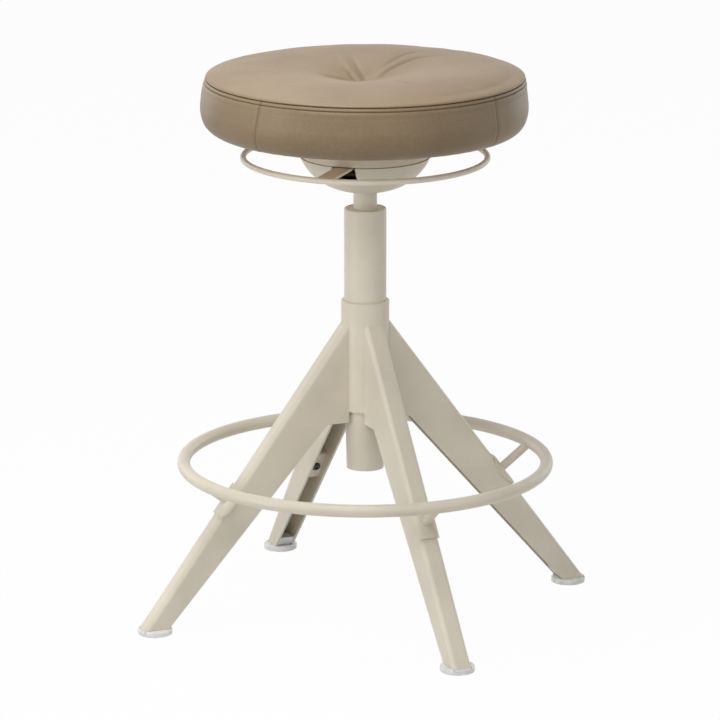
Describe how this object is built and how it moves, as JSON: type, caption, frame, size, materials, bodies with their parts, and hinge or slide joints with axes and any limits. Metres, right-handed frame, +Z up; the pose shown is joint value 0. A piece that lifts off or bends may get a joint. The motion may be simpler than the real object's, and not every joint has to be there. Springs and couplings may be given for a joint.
{
  "type": "adjustable swivel stool",
  "caption": "Height-adjustable swivel stool: round tufted leather seat on a gas lift, with a ring lever, splayed folded-steel legs and a round foot ring.",
  "frame": {"origin": "on the floor, on the axis of the column", "axes": "+Z up the column; +X and +Y each run along a leg"},
  "size_m": [0.5818, 0.5818, 0.6645],
  "materials": {
    "beige_paint": "satin",
    "housing_plastic": "matte",
    "foot_plastic": "translucent",
    "leather": "satin",
    "foam": "matte",
    "plywood": "matte",
    "steel": "satin",
    "black_paint": "satin",
    "aluminium": "satin",
    "black_plastic": "matte",
    "rubber": "matte",
    "cord": "matte"
  },
  "bodies": {
    "base": {"column_tube": "beige_paint", "column_end_plate": "steel", "guide_bush": "housing_plastic", "bearing_lower_race": "steel", "hub_sleeve": "beige_paint", "foot_ring": "beige_paint", "ring_screws": "black_paint", "leg_right": "beige_paint", "leg_back": "beige_paint", "leg_left": "beige_paint", "leg_front": "beige_paint", "foot_right": "foot_plastic", "foot_back": "foot_plastic", "foot_left": "foot_plastic", "foot_front": "foot_plastic", "strut_right": "beige_paint", "strut_back": "beige_paint", "strut_left": "beige_paint", "strut_front": "beige_paint", "saddle_right": "beige_paint", "saddle_back": "beige_paint", "saddle_left": "beige_paint", "saddle_front": "beige_paint", "stay_plate_right": "beige_paint", "stay_plate_back": "beige_paint", "stay_plate_left": "beige_paint", "stay_plate_front": "beige_paint"},
    "cage": {"bearing_cage": "black_plastic", "bearing_balls": "steel"},
    "swivel": {"piston_rod": "steel", "bearing_upper_race": "steel", "rod_clip": "steel", "bump_stop": "rubber", "piston": "aluminium"},
    "seat": {"gas_cylinder": "beige_paint", "rod_guide": "aluminium", "valve_body": "aluminium", "taper_socket": "steel", "mechanism_channel": "beige_paint", "seat_plate": "black_paint", "housing_ring": "housing_plastic", "housing_bowl": "housing_plastic", "lever_pivot_pin": "steel", "pivot_clips": "steel", "seat_screws": "steel", "board_nuts": "steel", "seat_board": "plywood", "cover_staples": "steel", "tuft_tie": "cord", "tuft_anchor": "black_plastic", "seat_foam": "foam", "seat_top_panel": "leather", "seat_side_panel_1": "leather", "seat_side_panel_2": "leather", "seat_side_panel_3": "leather", "seat_side_panel_4": "leather"},
    "lever": {"lever_ring": "beige_paint", "lever_arm": "beige_paint"},
    "valve": {"valve_pin": "steel"}
  },
  "joints": [
    {"name": "seat_swivel", "type": "hinge", "parent": "base", "child": "swivel", "pos_m": [0, 0, 0.19], "axis": [0, 0, 1], "continuous": true},
    {"name": "cage_turn", "type": "hinge", "parent": "base", "child": "cage", "pos_m": [0, 0, 0.19], "axis": [0, 0, 1], "continuous": true},
    {"name": "seat_lift", "type": "slide", "parent": "swivel", "child": "seat", "axis": [0, 0, 1], "range_m": [0, 0.2]},
    {"name": "lever_press", "type": "hinge", "parent": "seat", "child": "lever", "pos_m": [0.02396, 0.02551, 0.5532], "axis": [0.729, -0.6845, 0], "range_deg": [0, 5.5], "stiffness_Nm_per_rad": 5, "springref_deg": -5.73},
    {"name": "valve_press", "type": "slide", "parent": "seat", "child": "valve", "axis": [0, 0, -1], "range_m": [0, 0.0036]}
  ],
  "couplings": [
    {"joint": "cage_turn", "follows": "seat_swivel", "ratio": 0.5},
    {"joint": "valve_press", "follows": "lever_press", "m_per_rad": 0.035108}
  ]
}
